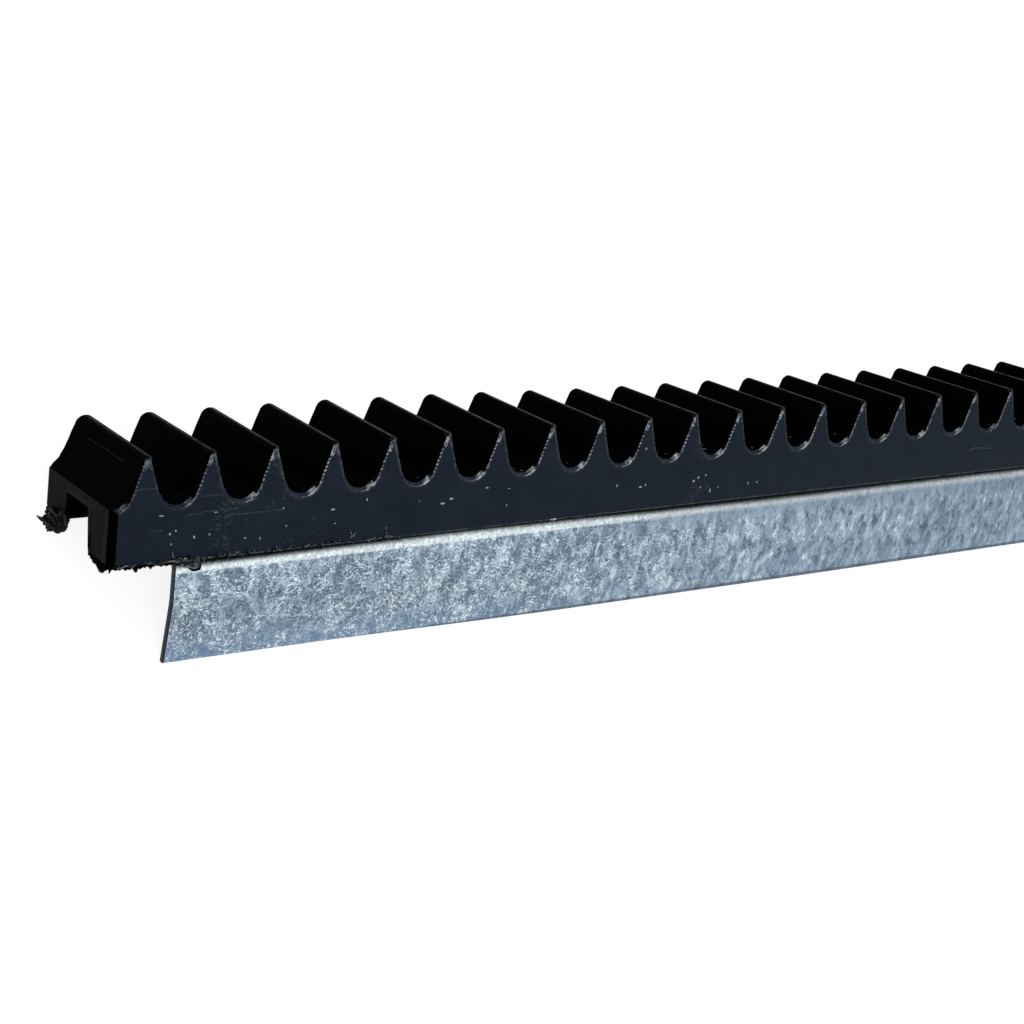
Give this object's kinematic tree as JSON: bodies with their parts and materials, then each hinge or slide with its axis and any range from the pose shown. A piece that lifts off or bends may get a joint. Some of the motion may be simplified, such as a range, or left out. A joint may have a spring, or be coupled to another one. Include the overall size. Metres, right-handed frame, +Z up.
{
  "type": "gear rack",
  "caption": "Straight length of sliding-gate gear rack: black plastic bar with cross teeth and an open channel below, on a folded galvanised steel strip.",
  "frame": {"origin": "bottom centre of the whole bar's box, on the level floor it lies on", "axes": "+X along the bar, towards the end furthest from the pictured one; +Z up; +Y to the back. The bar leans back 46.1 degrees about X, on the lower edge of its steel leg and the foot of its rear wall."},
  "size_m": [1.0052, 0.0444, 0.0293],
  "materials": {
    "black_plastic": "moulded, slightly scuffed",
    "galvanised_steel": "zinc coat with fine spangle"
  },
  "bodies": {
    "root": {"toothed_rack": "black_plastic", "steel_strip": "galvanised_steel"}
  },
  "joints": []
}
